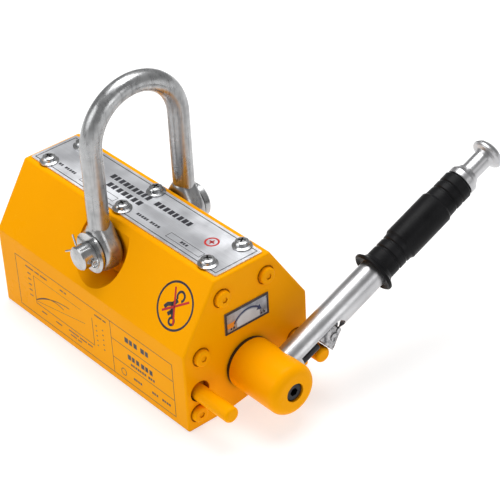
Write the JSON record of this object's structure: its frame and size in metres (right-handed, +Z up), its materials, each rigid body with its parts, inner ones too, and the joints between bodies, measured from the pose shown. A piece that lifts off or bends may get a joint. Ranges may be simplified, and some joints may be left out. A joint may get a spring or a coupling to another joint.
{
  "type": "permanent lifting magnet",
  "caption": "Permanent lifting magnet: steel housing with sloped sides, swing handle that switches the rotor, safety button and latch, and a pivoting lifting shackle.",
  "frame": {"origin": "centre of the underside, midway between the two pole faces, at the level of the pole faces", "axes": "+X along the rotor shaft towards the handle hub, +Y across the housing on the side where the handle rests, +Z up"},
  "size_m": [0.2878, 0.291, 0.23],
  "materials": {
    "paint": "glossy orange-yellow enamel",
    "brass": "machined brass",
    "stainless": "non-magnetic stainless, milled",
    "magnet": "nickel-plated magnet",
    "gasket": "fibre gasket sheet",
    "steel": "turned steel",
    "bronze": "sintered bronze",
    "seal": "nitrile rubber",
    "plate": "brushed sheet",
    "zinc": "bright zinc plate",
    "galvanised": "galvanised, drawn",
    "black_steel": "black oxide",
    "chrome": "polished plate",
    "rubber": "moulded satin rubber",
    "cast_latch": "plated casting"
  },
  "bodies": {
    "housing": {"pole_block_front": "paint", "pole_block_rear": "paint", "base_spacer": "brass", "top_spacer": "stainless", "stator_magnets": "magnet", "end_cover_drive": "paint", "end_cover_plain": "paint", "gasket_drive": "gasket", "gasket_plain": "gasket", "cover_bolts_drive": "paint", "cover_bolts_plain": "paint", "bearing_carrier_drive": "steel", "bearing_carrier_plain": "steel", "bush_drive": "bronze", "bush_plain": "bronze", "shaft_seal": "seal", "stop_pins": "paint", "name_plate": "plate", "name_plate_screws": "zinc", "direction_plate": "plate", "shackle_pin": "zinc", "shackle_washer": "zinc", "cotter_pin": "zinc"},
    "handle": {"rotor_pole_north": "steel", "rotor_pole_south": "steel", "rotor_magnets": "magnet", "rotor_shaft": "steel", "rotor_stub": "steel", "rotor_screws": "steel", "shaft_key": "steel", "handle_hub": "paint", "hub_screw": "black_steel", "handle_tube": "chrome", "grip": "rubber", "end_collar": "chrome", "rod_guide": "bronze", "tie_rod": "black_steel", "latch_pivot_pin": "steel", "button_spring": "steel"},
    "button": {"push_rod": "black_steel", "link_pin": "steel", "spring_seat": "steel", "knob": "chrome"},
    "latch": {"latch_hook": "cast_latch"},
    "shackle": {"shackle_bow": "galvanised"}
  },
  "joints": [
    {"name": "handle_turn", "type": "hinge", "parent": "housing", "child": "handle", "pos_m": [0, 0, 0.0353], "axis": [1, 0, 0], "range_deg": [0, 140]},
    {"name": "button_push", "type": "slide", "parent": "handle", "child": "button", "axis": [0, -0.9219, -0.3875], "range_m": [0, 0.005], "stiffness_N_per_m": 900, "deforming": ["button_spring"]},
    {"name": "latch_swing", "type": "hinge", "parent": "handle", "child": "latch", "pos_m": [0.1426, 0.05802, 0.0521], "axis": [1, 0, 0], "range_deg": [0, 26.8]},
    {"name": "shackle_swing", "type": "hinge", "parent": "housing", "child": "shackle", "pos_m": [0, 0, 0.0985], "axis": [0, 1, 0], "range_deg": [-50, 50]}
  ],
  "couplings": [
    {"joint": "latch_swing", "follows": "button_push", "rad_per_m": 93.497}
  ]
}
